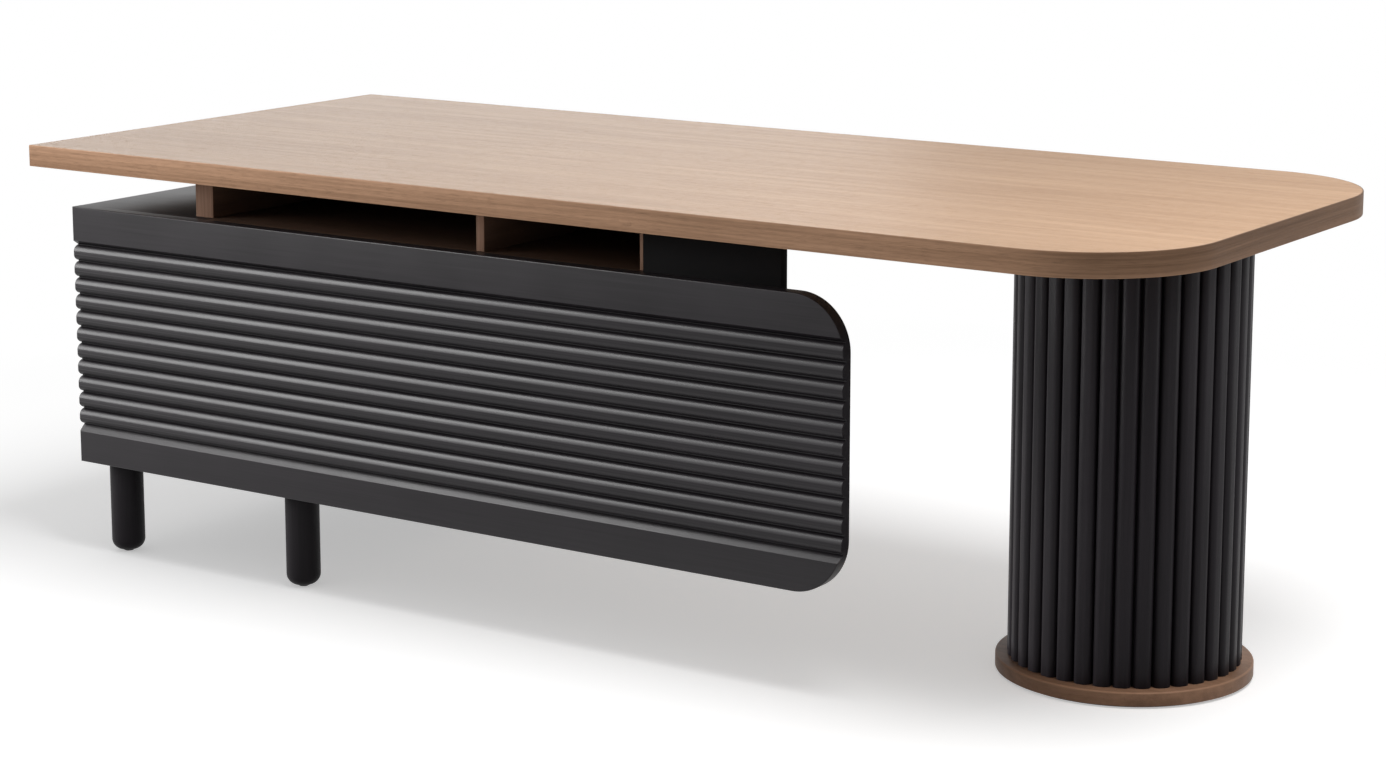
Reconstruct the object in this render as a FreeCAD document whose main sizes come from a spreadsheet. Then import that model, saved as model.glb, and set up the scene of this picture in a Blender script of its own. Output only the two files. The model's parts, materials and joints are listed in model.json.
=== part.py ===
import FreeCAD, Part
import math
import os
import Sketcher

# Office desk: a long top on a drum leg at the right and a drawer pedestal at the left, whose fluted front
# panel runs on to the right as a modesty panel. Millimetres, +Z up, origin on the floor under the middle
# of the top, +X towards the drum, -Y towards the visitor, +Y towards the user.

doc = FreeCAD.newDocument("OfficeDesk")
sheet = doc.addObject("Spreadsheet::Sheet", "Sizes")

SIZES = {
    # Top
    "desk_height": 750,
    "top_length": 2190,
    "top_depth": 940,
    "top_thick": 38,
    "top_corner": 215,
    "band_thick": 2,
    "band_arris": 1.2,
    "overhang": 50,
    # Fluted panel
    "panel_length": 1611,
    "panel_thick": 24,
    "panel_corner": 88,
    "panel_arris": 2,
    "top_band": 61,
    "bottom_band_least": 50,
    "band_slope": 8,
    "ledge_slope": 12,
    "rib_pitch": 30,
    "rib_width": 28.4,
    "rib_depth": 12,
    # Pedestal
    "pedestal_width": 536,
    "board_thick": 18,
    "leg_height": 170,
    "leg_diameter": 60,
    "leg_round": 20,
    "leg_inset": 57,
    "glide_radius": 9,
    "glide_height": 3,
    "stud_radius": 4,
    "stud_in_leg": 35,
    "stud_in_board": 14,
    # Niche under the top
    "niche_height": 75,
    "niche_depth": 306,
    "niche_setback": 6,
    "niche_back_thick": 12,
    "niche_left_width": 592,
    "divider_thick": 16,
    "niche_side_thick": 10,
    "upright_offset": 261,
    "upright_thick": 40,
    "upright_setback": 43,
    "hanger_inset": 125,
    "hanger_width": 257,
    "hanger_drop": 260,
    # Drum leg
    "drum_inset": 255,
    "drum_radius": 185,
    "batten_width": 28,
    "batten_depth": 14,
    "batten_round": 10,
    "batten_gap": 1.8,
    "core_wall": 9,
    "core_clear": 0.1,
    "plate_thick": 18,
    "plinth_lip": 19,
    "plinth_height": 22,
    "plinth_bevel": 2.5,
    "foot_height": 4,
    "foot_inset": 9,
    # Drawers
    "front_gap": 2.5,
    "finger_gap": 18,
    "finger_slope": 12,
    "box_lift": 12,
    "box_headroom": 35,
    "box_wall": 12,
    "box_bottom": 6,
    "bottom_rise": 8,
    # Runners
    "runner_length": 550,
    "runner_width": 12.7,
    "runner_height": 45,
    "runner_depth": 9.5,
    "runner_steel": 1.2,
    "runner_clear": 0.3,
    # Screws and brackets
    "screw_radius": 2.2,
    "screw_bite": 15,
    "head_radius": 4.5,
    "head_height": 2.8,
    "hole_clear": 0.1,
    "panel_cover": 2,
    "panel_screw_edge": 15,
    "panel_screw_inset": 60,
    "hanger_screw_inset": 32,
    "drum_screw_circle": 120,
    "bracket_leg": 40,
    "bracket_width": 30,
    "bracket_thick": 2.5,
    "bracket_inset": 60,
}

for row, (alias, number) in enumerate(SIZES.items(), start=1):
    sheet.set(f"A{row}", alias)
    sheet.set(f"B{row}", str(number))
    sheet.setAlias(f"B{row}", alias)
doc.recompute()

# Places worked out from the sheet, as expressions
LEFT = "(-Sizes.top_length / 2 + Sizes.overhang)"
FRONT = "(-Sizes.top_depth / 2 + Sizes.overhang)"
BACK = "(Sizes.top_depth / 2 - Sizes.overhang)"
SLAB_Z = "(Sizes.desk_height - Sizes.top_thick)"
FLOOR_Z = f"({SLAB_Z} - Sizes.niche_height)"
PANEL_BACK = f"({FRONT} + Sizes.panel_thick)"
PANEL_HEIGHT = f"({FLOOR_Z} - Sizes.leg_height)"
PANEL_BASE = "(Sizes.panel_thick - Sizes.rib_depth)"
PEDESTAL_RIGHT = f"({LEFT} + Sizes.pedestal_width)"
PEDESTAL_DEPTH = f"({BACK} - {PANEL_BACK})"
INNER_LEFT = f"({LEFT} + Sizes.board_thick)"
INNER_RIGHT = f"({PEDESTAL_RIGHT} - Sizes.board_thick)"
INNER_WIDTH = f"({INNER_RIGHT} - {INNER_LEFT})"
SHELF_Z = f"({FLOOR_Z} - Sizes.board_thick)"
OPENING_TOP = f"({SHELF_Z} - Sizes.board_thick)"
OPENING_BOTTOM = "(Sizes.leg_height + Sizes.board_thick)"
OPENING_HEIGHT = f"({OPENING_TOP} - {OPENING_BOTTOM})"
UPRIGHT_X = f"({LEFT} + Sizes.upright_offset)"
NICHE_X = f"({UPRIGHT_X} + Sizes.upright_thick)"
DIVIDER_X = f"({NICHE_X} + Sizes.niche_left_width)"
HANGER_X = f"({LEFT} + Sizes.panel_length - Sizes.hanger_inset - Sizes.hanger_width)"
NICHE_END_X = f"({HANGER_X} - Sizes.niche_side_thick)"
HANGER_BACK = f"({PANEL_BACK} + Sizes.board_thick)"
HANGER_Z = f"({FLOOR_Z} - Sizes.hanger_drop)"
NICHE_FRONT = f"({PANEL_BACK} + Sizes.niche_setback)"
NICHE_REAR = f"({PANEL_BACK} + Sizes.niche_depth)"
NICHE_BACK_Y = f"({NICHE_REAR} - Sizes.niche_back_thick)"
DRUM_X = "(Sizes.top_length / 2 - Sizes.drum_inset)"
CORE_RADIUS = "(Sizes.drum_radius - Sizes.batten_depth)"
CORE_BORE = f"({CORE_RADIUS} - Sizes.core_clear - Sizes.core_wall)"
PLINTH_TOP = "(Sizes.foot_height + Sizes.plinth_height)"
DRUM_HEIGHT = f"({SLAB_Z} - {PLINTH_TOP})"
HOLE_RADIUS = "(Sizes.screw_radius + Sizes.hole_clear)"

DRAWERS = ("lower", "middle", "upper")
TURNS = {
    "x": FreeCAD.Rotation(FreeCAD.Vector(0, 1, 0), 90),
    "y": FreeCAD.Rotation(FreeCAD.Vector(1, 0, 0), -90),
    "z": FreeCAD.Rotation(),
}

TOUCH = 0.001

sub_parts = []


def value(expression):
    """The number that an expression has now."""
    return float(sheet.evalExpression(expression))


def keep(item):
    """Count an object as a finished sub-part."""
    sub_parts.append(item)
    return item


def place(item, x, y, z):
    """Tie an object's place to the sheet."""
    item.setExpression("Placement.Base.x", x)
    item.setExpression("Placement.Base.y", y)
    item.setExpression("Placement.Base.z", z)


def block(name, x, y, z, length, width, height):
    """A rectangular board from its low corner."""
    item = doc.addObject("Part::Box", name)
    item.setExpression("Length", length)
    item.setExpression("Width", width)
    item.setExpression("Height", height)
    place(item, x, y, z)
    return item


def rod(name, x, y, z, radius, length, axis="z"):
    """A round bar that starts at a point and runs along an axis."""
    item = doc.addObject("Part::Cylinder", name)
    item.Placement = FreeCAD.Placement(FreeCAD.Vector(), TURNS[axis])
    item.setExpression("Radius", radius)
    item.setExpression("Height", length)
    place(item, x, y, z)
    return item


def joined(name, items):
    """Several overlapping solids made one."""
    item = doc.addObject("Part::MultiFuse", name)
    item.Shapes = items
    return item


def group(name, items):
    """Several separate solids kept together."""
    item = doc.addObject("Part::Compound", name)
    item.Links = items
    return item


def cut(name, base, tools):
    """A solid with other solids taken out of it."""
    item = doc.addObject("Part::Cut", name)
    item.Base = base
    item.Tool = tools[0] if len(tools) == 1 else group(f"{name}_cutters", tools)
    return item


def outline(body, role, corners, arcs=None):
    """A closed sketch through corners given as expressions; arcs maps a side to its centre and radius."""
    arcs = arcs or {}
    sketch = body.newObject("Sketcher::SketchObject", f"{body.Name}_outline")
    plane = next(item for item in body.Origin.OriginFeatures if item.Role == role)
    sketch.AttachmentSupport = [(plane, "")]
    sketch.MapMode = "FlatFace"
    points = [FreeCAD.Vector(value(x), value(y), 0) for x, y in corners]
    up = FreeCAD.Vector(0, 0, 1)
    for side, start in enumerate(points):
        end = points[(side + 1) % len(points)]
        if side in arcs:
            centre = FreeCAD.Vector(value(arcs[side][0]), value(arcs[side][1]), 0)
            circle = Part.Circle(centre, up, value(arcs[side][2]))
            first = math.atan2(start.y - centre.y, start.x - centre.x)
            last = math.atan2(end.y - centre.y, end.x - centre.x)
            sketch.addGeometry(Part.ArcOfCircle(circle, first, last), False)
        else:
            sketch.addGeometry(Part.LineSegment(start, end), False)
    for side, (x, y) in enumerate(corners):
        following = (side + 1) % len(corners)
        sketch.addConstraint(Sketcher.Constraint("Coincident", side, 2, following, 1))
        for kind, expression in (("DistanceX", x), ("DistanceY", y)):
            index = sketch.addConstraint(Sketcher.Constraint(kind, -1, 1, side, 1, value(expression)))
            sketch.setExpression(f"Constraints[{index}]", expression)
    for side, (_, _, radius) in arcs.items():
        index = sketch.addConstraint(Sketcher.Constraint("Radius", side, value(radius)))
        sketch.setExpression(f"Constraints[{index}]", radius)
    return sketch


def padded(name, role, corners, length, arcs=None):
    """A body made by padding one outline."""
    body = doc.addObject("PartDesign::Body", name)
    pad = body.newObject("PartDesign::Pad", f"{name}_pad")
    pad.Profile = outline(body, role, corners, arcs)
    pad.setExpression("Length", length)
    body.Tip = pad
    doc.recompute()
    return body


def turned(name, radius, height):
    """A body made from one round bar along Z."""
    body = doc.addObject("PartDesign::Body", name)
    bar = doc.addObject("PartDesign::AdditiveCylinder", f"{name}_bar")
    body.addObject(bar)
    bar.setExpression("Radius", radius)
    bar.setExpression("Height", height)
    doc.recompute()
    return body


def dressed(body, kind, size, amount, chosen):
    """Round or bevel the edges of a body that a test picks."""
    base = body.Tip
    edges = [f"Edge{i}" for i, edge in enumerate(base.Shape.Edges, start=1) if chosen(edge.BoundBox)]
    feature = body.newObject(f"PartDesign::{kind}", f"{body.Name}_{kind.lower()}")
    feature.Base = (base, edges)
    feature.setExpression(size, amount)
    body.Tip = feature
    doc.recompute()
    return body


def end_rounded(inset, length, width, radius):
    """Corners and arcs of a rectangle from its low corner, with its two far corners rounded."""
    low = inset
    far = f"({length} - {inset})"
    high = f"({width} - {inset})"
    bend = f"({radius} - {inset})"
    corners = [
        (low, low),
        (f"{far} - {bend}", low),
        (far, f"{low} + {bend}"),
        (far, f"{high} - {bend}"),
        (f"{far} - {bend}", high),
        (low, high),
    ]
    arcs = {
        1: (f"{far} - {bend}", f"{low} + {bend}", bend),
        3: (f"{far} - {bend}", f"{high} - {bend}", bend),
    }
    return corners, arcs


def screw(name, x, y, z, axis, length, head_at_start):
    """A screw whose shank runs from a point along an axis, with its head at one end outside the shank."""
    shank = rod(f"{name}_shank", x, y, z, "Sizes.screw_radius", length, axis)
    shift = "- Sizes.head_height" if head_at_start else f"+ {length}"
    start = {"x": x, "y": y, "z": z}
    start[axis] = f"{start[axis]} {shift}"
    head = rod(f"{name}_head", start["x"], start["y"], start["z"], "Sizes.head_radius", "Sizes.head_height", axis)
    return joined(name, [shank, head])


def hole(name, x, y, z, axis, length):
    """A clearance hole for a screw's shank."""
    return rod(name, x, y, z, HOLE_RADIUS, length, axis)


def channel(name, x, y, z, depth, height, web_on_left):
    """One C-shaped runner member, with its web on one side and its mouth on the other."""
    steel = "Sizes.runner_steel"
    bar = block(f"{name}_bar", x, y, z, depth, "Sizes.runner_length", height)
    mouth_x = f"{x} + {steel}" if web_on_left else x
    mouth = block(
        f"{name}_mouth", mouth_x, y, f"{z} + {steel}",
        f"{depth} - {steel}", "Sizes.runner_length", f"{height} - 2 * {steel}",
    )
    return cut(name, bar, [mouth])


# Screw places shared by the boards that they join
def panel_screw_places():
    """Name, x and z of each screw that holds the fluted panel from behind."""
    columns = (
        f"{INNER_LEFT} + Sizes.panel_screw_inset",
        f"({INNER_LEFT} + {INNER_RIGHT}) / 2",
        f"{INNER_RIGHT} - Sizes.panel_screw_inset",
    )
    rows = (f"{OPENING_BOTTOM} + Sizes.panel_screw_edge", f"{OPENING_TOP} - Sizes.panel_screw_edge")
    pedestal = [(f"pedestal_{c}_{r}", x, z) for c, x in enumerate(columns) for r, z in enumerate(rows)]
    columns = (
        f"{HANGER_X} + Sizes.hanger_screw_inset",
        f"{HANGER_X} + Sizes.hanger_width - Sizes.hanger_screw_inset",
    )
    rows = (f"{HANGER_Z} + Sizes.hanger_screw_inset", f"{FLOOR_Z} - Sizes.hanger_screw_inset")
    hanger = [(f"hanger_{c}_{r}", x, z) for c, x in enumerate(columns) for r, z in enumerate(rows)]
    return pedestal, hanger


def drum_screw_places():
    """Name, x and y of the four screws at each end of the drum."""
    reach = "Sizes.drum_screw_circle"
    return [
        ("right", f"{DRUM_X} + {reach}", "0"),
        ("left", f"{DRUM_X} - {reach}", "0"),
        ("back", DRUM_X, reach),
        ("front", DRUM_X, f"-{reach}"),
    ]


def upright_bracket_places():
    """Name and low y of the brackets on the upright, behind the niche."""
    return [
        ("upright_near", f"{NICHE_REAR} + Sizes.bracket_inset"),
        ("upright_far", f"{BACK} - Sizes.bracket_inset - Sizes.bracket_width"),
    ]


def hanger_bracket_places():
    """Name and low x of the brackets on the back of the hanger board."""
    return [
        ("hanger_left", f"{HANGER_X} + Sizes.bracket_width / 2"),
        ("hanger_right", f"{HANGER_X} + Sizes.hanger_width - 1.5 * Sizes.bracket_width"),
    ]


def bracket_screw_places():
    """Name, x, y, z and axis of each bracket screw's lowest shank point."""
    half = "Sizes.bracket_width / 2"
    middle = "Sizes.bracket_leg / 2"
    under = f"{SLAB_Z} - Sizes.bracket_thick"
    side_z = f"{SLAB_Z} - {middle}"
    places = []
    for name, y in upright_bracket_places():
        places.append((f"{name}_top", f"{NICHE_X} + {middle}", f"{y} + {half}", under, "z"))
        places.append((f"{name}_side", f"{NICHE_X} - Sizes.screw_bite", f"{y} + {half}", side_z, "x"))
    for name, x in hanger_bracket_places():
        places.append((f"{name}_top", f"{x} + {half}", f"{HANGER_BACK} + {middle}", under, "z"))
        places.append((f"{name}_side", f"{x} + {half}", f"{HANGER_BACK} - Sizes.screw_bite", side_z, "y"))
    return places


def leg_places():
    """Name, x and y of each leg."""
    near_left = f"{LEFT} + Sizes.leg_inset"
    near_right = f"{PEDESTAL_RIGHT} - Sizes.leg_inset"
    front = f"{FRONT} + Sizes.leg_inset"
    back = f"{BACK} - Sizes.leg_inset"
    return [
        ("front_left", near_left, front),
        ("front_right", near_right, front),
        ("back_left", near_left, back),
        ("back_right", near_right, back),
    ]


BRACKET_REACH = "(Sizes.bracket_thick + Sizes.screw_bite)"
PANEL_REACH = f"({PANEL_BASE} - Sizes.panel_cover)"


def make_top():
    """The top board and the band round its edge."""
    corners, arcs = end_rounded("Sizes.band_thick", "Sizes.top_length", "Sizes.top_depth", "Sizes.top_corner")
    board = padded("top_board", "XY_Plane", corners, "Sizes.top_thick", arcs)
    place(board, "-Sizes.top_length / 2", "-Sizes.top_depth / 2", SLAB_Z)
    holes = [
        hole(f"top_hole_{name}", x, y, z, axis, BRACKET_REACH)
        for name, x, y, z, axis in bracket_screw_places()
        if axis == "z"
    ]
    holes += [
        hole(f"top_hole_drum_{name}", x, y, SLAB_Z, "z", "Sizes.screw_bite")
        for name, x, y in drum_screw_places()
    ]
    keep(cut("desk_top", board, holes))

    corners, arcs = end_rounded("0", "Sizes.top_length", "Sizes.top_depth", "Sizes.top_corner")
    whole = padded("band_outside", "XY_Plane", corners, "Sizes.top_thick", arcs)
    heights = (0, value("Sizes.top_thick"))
    dressed(
        whole, "Fillet", "Radius", "Sizes.band_arris",
        lambda box: box.ZLength < TOUCH and min(abs(box.ZMin - height) for height in heights) < TOUCH,
    )
    place(whole, "-Sizes.top_length / 2", "-Sizes.top_depth / 2", SLAB_Z)
    corners, arcs = end_rounded("Sizes.band_thick", "Sizes.top_length", "Sizes.top_depth", "Sizes.top_corner")
    inside = padded("band_inside", "XY_Plane", corners, "Sizes.top_thick", arcs)
    place(inside, "-Sizes.top_length / 2", "-Sizes.top_depth / 2", SLAB_Z)
    keep(cut("top_edge_band", whole, [inside]))


def make_panel():
    """The fluted panel: a base board, two flat bands and the ribs between them, cut to a rounded outline."""
    base_y = f"{PANEL_BACK} - {PANEL_BASE}"
    base = block(
        "panel_base", LEFT, base_y, "Sizes.leg_height", "Sizes.panel_length", PANEL_BASE, PANEL_HEIGHT
    )
    ribs_top = f"({PANEL_HEIGHT} - Sizes.top_band - Sizes.band_slope)"
    rib_room = f"({ribs_top} - Sizes.ledge_slope - Sizes.bottom_band_least)"
    rib_count = int(value(f"{rib_room} / Sizes.rib_pitch"))
    ribs_bottom = f"({ribs_top} - {rib_count} * Sizes.rib_pitch)"
    deep = "Sizes.rib_depth"
    back = "Sizes.panel_thick"
    upper = [
        ("0", f"{PANEL_HEIGHT} - Sizes.top_band"),
        (deep, ribs_top),
        (back, ribs_top),
        (back, PANEL_HEIGHT),
        ("0", PANEL_HEIGHT),
    ]
    lower = [
        ("0", "0"),
        (back, "0"),
        (back, ribs_bottom),
        (deep, ribs_bottom),
        ("0", f"{ribs_bottom} - Sizes.ledge_slope"),
    ]
    bands = []
    for name, corners in (("panel_upper_band", upper), ("panel_lower_band", lower)):
        band = padded(name, "YZ_Plane", corners, "Sizes.panel_length")
        place(band, LEFT, FRONT, "Sizes.leg_height")
        bands.append(band)
    rib_radius = "((Sizes.rib_width ^ 2 / 4 + Sizes.rib_depth ^ 2) / (2 * Sizes.rib_depth))"
    ribs = [
        rod(
            f"panel_rib_{i}", LEFT, f"{FRONT} + {rib_radius}",
            f"Sizes.leg_height + {ribs_top} - ({i} + 0.5) * Sizes.rib_pitch",
            rib_radius, "Sizes.panel_length", "x",
        )
        for i in range(rib_count)
    ]
    milled = joined("panel_milled", [base] + bands + ribs)

    corners, arcs = end_rounded("0", "Sizes.panel_length", PANEL_HEIGHT, "Sizes.panel_corner")
    blank = padded("panel_blank", "XZ_Plane", corners, "Sizes.panel_thick", arcs)
    front = -value("Sizes.panel_thick")
    dressed(
        blank, "Fillet", "Radius", "Sizes.panel_arris",
        lambda box: box.YLength < TOUCH and abs(box.YMin - front) < TOUCH,
    )
    place(blank, LEFT, PANEL_BACK, "Sizes.leg_height")
    shaped = doc.addObject("Part::Common", "panel_shaped")
    shaped.Base = milled
    shaped.Tool = blank
    pedestal, hanger = panel_screw_places()
    holes = [
        hole(f"panel_hole_{name}", x, f"{PANEL_BACK} - {PANEL_REACH}", z, "y", PANEL_REACH)
        for name, x, z in pedestal + hanger
    ]
    keep(cut("fluted_panel", shaped, holes))


def make_pedestal():
    """The cabinet behind the panel's left part."""
    board = "Sizes.board_thick"
    inside = OPENING_HEIGHT
    keep(block("pedestal_left_side", LEFT, PANEL_BACK, OPENING_BOTTOM, board, PEDESTAL_DEPTH, inside))
    keep(block("pedestal_right_side", INNER_RIGHT, PANEL_BACK, OPENING_BOTTOM, board, PEDESTAL_DEPTH, inside))
    keep(block(
        "pedestal_top", LEFT, PANEL_BACK, OPENING_TOP, "Sizes.pedestal_width", PEDESTAL_DEPTH, board
    ))
    floor = block(
        "pedestal_floor_board", LEFT, PANEL_BACK, "Sizes.leg_height",
        "Sizes.pedestal_width", PEDESTAL_DEPTH, board,
    )
    holes = [
        rod(
            f"stud_hole_{name}", x, y, "Sizes.leg_height",
            "Sizes.stud_radius + Sizes.hole_clear", "Sizes.stud_in_board",
        )
        for name, x, y in leg_places()
    ]
    keep(cut("pedestal_bottom", floor, holes))
    front = block("pedestal_front_blank", INNER_LEFT, PANEL_BACK, OPENING_BOTTOM, INNER_WIDTH, board, inside)
    holes = [
        hole(f"front_hole_{name}", x, PANEL_BACK, z, "y", board)
        for name, x, z in panel_screw_places()[0]
    ]
    keep(cut("pedestal_front_board", front, holes))


def make_legs():
    """Four turned legs with rounded feet, their glides and studs."""
    glides = []
    studs = []
    for name, x, y in leg_places():
        turning = turned(
            f"turning_{name}", "Sizes.leg_diameter / 2", "Sizes.leg_height - Sizes.glide_height"
        )
        dressed(turning, "Fillet", "Radius", "Sizes.leg_round", lambda box: box.ZMax < TOUCH)
        place(turning, x, y, "Sizes.glide_height")
        stud_z = "Sizes.leg_height - Sizes.stud_in_leg"
        bore = rod(
            f"bore_{name}", x, y, stud_z, "Sizes.stud_radius + Sizes.hole_clear", "Sizes.stud_in_leg"
        )
        keep(cut(f"leg_{name}", turning, [bore]))
        glides.append(rod(f"glide_{name}", x, y, "0", "Sizes.glide_radius", "Sizes.glide_height"))
        studs.append(rod(
            f"stud_{name}", x, y, stud_z, "Sizes.stud_radius", "Sizes.stud_in_leg + Sizes.stud_in_board"
        ))
    keep(group("leg_glides", glides))
    keep(group("leg_studs", studs))


def make_niche():
    """The boards between the pedestal and the top."""
    board = "Sizes.board_thick"
    height = "Sizes.niche_height"
    keep(block("ledge_board", LEFT, PANEL_BACK, SHELF_Z, f"{NICHE_X} - {LEFT}", PEDESTAL_DEPTH, board))
    keep(block(
        "niche_floor", NICHE_X, PANEL_BACK, SHELF_Z, f"{HANGER_X} - {NICHE_X}", "Sizes.niche_depth", board
    ))
    upright_y = f"({FRONT} + Sizes.upright_setback)"
    upright = block(
        "upright_blank", UPRIGHT_X, upright_y, FLOOR_Z, "Sizes.upright_thick", f"{BACK} - {upright_y}", height
    )
    holes = [
        hole(f"upright_hole_{name}", x, y, z, axis, "Sizes.screw_bite")
        for name, x, y, z, axis in bracket_screw_places()
        if axis == "x"
    ]
    keep(cut("upright", upright, holes))
    depth = f"{NICHE_BACK_Y} - {NICHE_FRONT}"
    keep(block("niche_divider", DIVIDER_X, NICHE_FRONT, FLOOR_Z, "Sizes.divider_thick", depth, height))
    keep(block("niche_right_side", NICHE_END_X, NICHE_FRONT, FLOOR_Z, "Sizes.niche_side_thick", depth, height))
    keep(block(
        "niche_back", NICHE_X, NICHE_BACK_Y, FLOOR_Z, f"{HANGER_X} - {NICHE_X}", "Sizes.niche_back_thick", height
    ))


def make_hanger():
    """The board that hangs the free end of the panel from the top."""
    blank = block(
        "hanger_blank", HANGER_X, PANEL_BACK, HANGER_Z,
        "Sizes.hanger_width", "Sizes.board_thick", f"{SLAB_Z} - {HANGER_Z}",
    )
    holes = [
        hole(f"hanger_hole_{name}", x, PANEL_BACK, z, "y", "Sizes.board_thick")
        for name, x, z in panel_screw_places()[1]
    ]
    holes += [
        hole(f"hanger_hole_{name}", x, y, z, axis, "Sizes.screw_bite")
        for name, x, y, z, axis in bracket_screw_places()
        if axis == "y"
    ]
    keep(cut("hanger_board", blank, holes))


def make_fixings():
    """Panel screws, and the angle brackets that hold the top with their screws."""
    pedestal, hanger = panel_screw_places()
    length = f"({PANEL_REACH} + Sizes.board_thick)"
    start = f"{PANEL_BACK} - {PANEL_REACH}"
    keep(group("panel_screws", [
        screw(f"panel_screw_{name}", x, start, z, "y", length, False) for name, x, z in pedestal + hanger
    ]))

    thick = "Sizes.bracket_thick"
    leg = "Sizes.bracket_leg"
    width = "Sizes.bracket_width"
    under = f"{SLAB_Z} - {thick}"
    drop = f"{SLAB_Z} - {leg}"
    blanks = {}
    for name, y in upright_bracket_places():
        flat = block(f"{name}_flat", NICHE_X, y, under, leg, width, thick)
        down = block(f"{name}_down", NICHE_X, y, drop, thick, width, leg)
        blanks[name] = joined(f"{name}_blank", [flat, down])
    for name, x in hanger_bracket_places():
        flat = block(f"{name}_flat", x, HANGER_BACK, under, width, leg, thick)
        down = block(f"{name}_down", x, HANGER_BACK, drop, width, thick, leg)
        blanks[name] = joined(f"{name}_blank", [flat, down])
    brackets = []
    for name, blank in blanks.items():
        holes = [
            hole(f"bracket_hole_{screw_name}", x, y, z, axis, BRACKET_REACH)
            for screw_name, x, y, z, axis in bracket_screw_places()
            if screw_name.startswith(name)
        ]
        brackets.append(cut(f"bracket_{name}", blank, holes))
    keep(group("angle_brackets", brackets))
    keep(group("bracket_screws", [
        screw(f"bracket_screw_{name}", x, y, z, axis, BRACKET_REACH, axis == "z")
        for name, x, y, z, axis in bracket_screw_places()
    ]))


def make_drum():
    """The drum leg: core, end plates, battens, plinth and foot."""
    tube = rod(
        "core_outside", DRUM_X, "0", PLINTH_TOP, f"{CORE_RADIUS} - Sizes.core_clear", DRUM_HEIGHT
    )
    keep(cut("drum_core", tube, [rod("core_bore", DRUM_X, "0", PLINTH_TOP, CORE_BORE, DRUM_HEIGHT)]))

    plate_radius = f"{CORE_BORE} - Sizes.hole_clear"
    plate = "Sizes.plate_thick"
    upper_z = f"{SLAB_Z} - {plate}"
    ends = (("drum_top_plate", upper_z), ("drum_bottom_plate", PLINTH_TOP))
    for label, z in ends:
        disc = rod(f"{label}_disc", DRUM_X, "0", z, plate_radius, plate)
        holes = [hole(f"{label}_hole_{name}", x, y, z, "z", plate) for name, x, y in drum_screw_places()]
        keep(cut(label, disc, holes))

    pitch = "(Sizes.batten_width + Sizes.batten_gap)"
    batten_count = int(2 * math.pi * value(CORE_RADIUS) / value(pitch))
    corners, arcs = end_rounded("0", "Sizes.batten_depth", "Sizes.batten_width", "Sizes.batten_round")
    battens = []
    for i in range(batten_count):
        angle = 360 * (i + 0.5) / batten_count
        out = f"cos({angle} deg)"
        across = f"sin({angle} deg)"
        batten = padded(f"batten_{i}", "XY_Plane", corners, DRUM_HEIGHT, arcs)
        batten.Placement.Rotation = FreeCAD.Rotation(FreeCAD.Vector(0, 0, 1), angle)
        place(
            batten,
            f"{DRUM_X} + {CORE_RADIUS} * {out} + Sizes.batten_width / 2 * {across}",
            f"{CORE_RADIUS} * {across} - Sizes.batten_width / 2 * {out}",
            PLINTH_TOP,
        )
        battens.append(batten)
    keep(group("drum_battens", battens))

    disc = turned("plinth_disc", "Sizes.drum_radius + Sizes.plinth_lip", "Sizes.plinth_height")
    height = value("Sizes.plinth_height")
    dressed(disc, "Chamfer", "Size", "Sizes.plinth_bevel", lambda box: abs(box.ZMin - height) < TOUCH)
    place(disc, DRUM_X, "0", "Sizes.foot_height")
    cutters = []
    plinth_screws = []
    shank_z = "Sizes.foot_height + Sizes.head_height"
    shank_length = "(Sizes.plinth_height - Sizes.head_height + Sizes.screw_bite)"
    for name, x, y in drum_screw_places():
        cutters.append(hole(f"plinth_hole_{name}", x, y, "Sizes.foot_height", "z", "Sizes.plinth_height"))
        cutters.append(rod(
            f"plinth_seat_{name}", x, y, "Sizes.foot_height",
            "Sizes.head_radius + Sizes.hole_clear", "Sizes.head_height",
        ))
        plinth_screws.append(screw(f"plinth_screw_{name}", x, y, shank_z, "z", shank_length, True))
    keep(cut("drum_plinth", disc, [joined("plinth_cutters", cutters)]))
    keep(group("plinth_screws", plinth_screws))
    keep(group("drum_screws", [
        screw(f"drum_screw_{name}", x, y, upper_z, "z", f"({plate} + Sizes.screw_bite)", True)
        for name, x, y in drum_screw_places()
    ]))
    foot_radius = "Sizes.drum_radius + Sizes.plinth_lip - Sizes.foot_inset"
    keep(rod("drum_foot", DRUM_X, "0", "0", foot_radius, "Sizes.foot_height"))


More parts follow.
